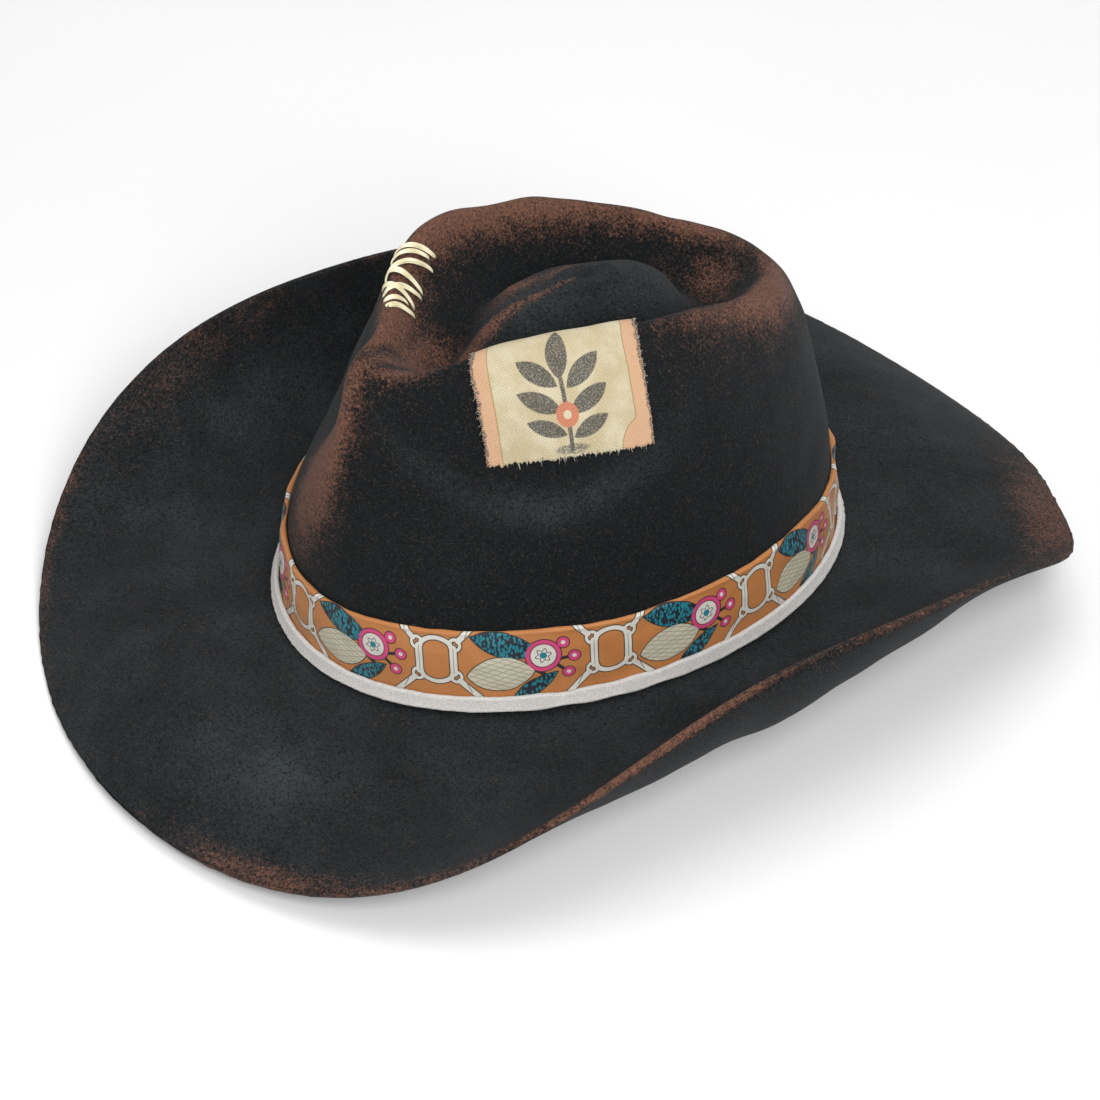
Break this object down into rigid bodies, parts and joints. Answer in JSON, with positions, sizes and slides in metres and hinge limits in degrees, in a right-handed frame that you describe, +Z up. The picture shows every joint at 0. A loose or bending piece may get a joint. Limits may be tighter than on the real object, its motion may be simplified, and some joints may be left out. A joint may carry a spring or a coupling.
{
  "type": "wide-brimmed felt hat",
  "caption": "Distressed black felt rancher hat with teardrop crown, curled brim, folded scarf band, linen patch and leather sweatband.",
  "frame": {"origin": "middle of the hat's bounding box in plan, on the surface that the brim's front and back stand on", "axes": "+Z up, the front of the hat faces -Y, the wearer's left is +X"},
  "size_m": [0.3058, 0.3964, 0.1535],
  "materials": {
    "felt": "blue-black fur felt, rubbed reddish brown on its ridges and edges",
    "suede": "off-white suede, raw edges",
    "silk": null,
    "linen": null,
    "floss": "pale yellow embroidery floss",
    "sweat_leather": "smooth brown leather",
    "reed": "matte plastic reed",
    "tape": "brown cotton tape",
    "thread": "waxed sewing thread",
    "ribbon": "black grosgrain ribbon",
    "satin": "rust brown satin"
  },
  "bodies": {
    "root": {"felt_body": "felt", "suede_lace": "suede", "scarf_band": "silk", "linen_patch": "linen", "rim_floss": "floss", "sweatband": "sweat_leather", "sweatband_reed": "reed", "reed_tape": "tape", "reed_stitches": "thread", "sweatband_joint_stitches": "thread", "sweatband_bow": "ribbon", "lining_side": "satin", "lining_tip": "satin"}
  },
  "joints": []
}
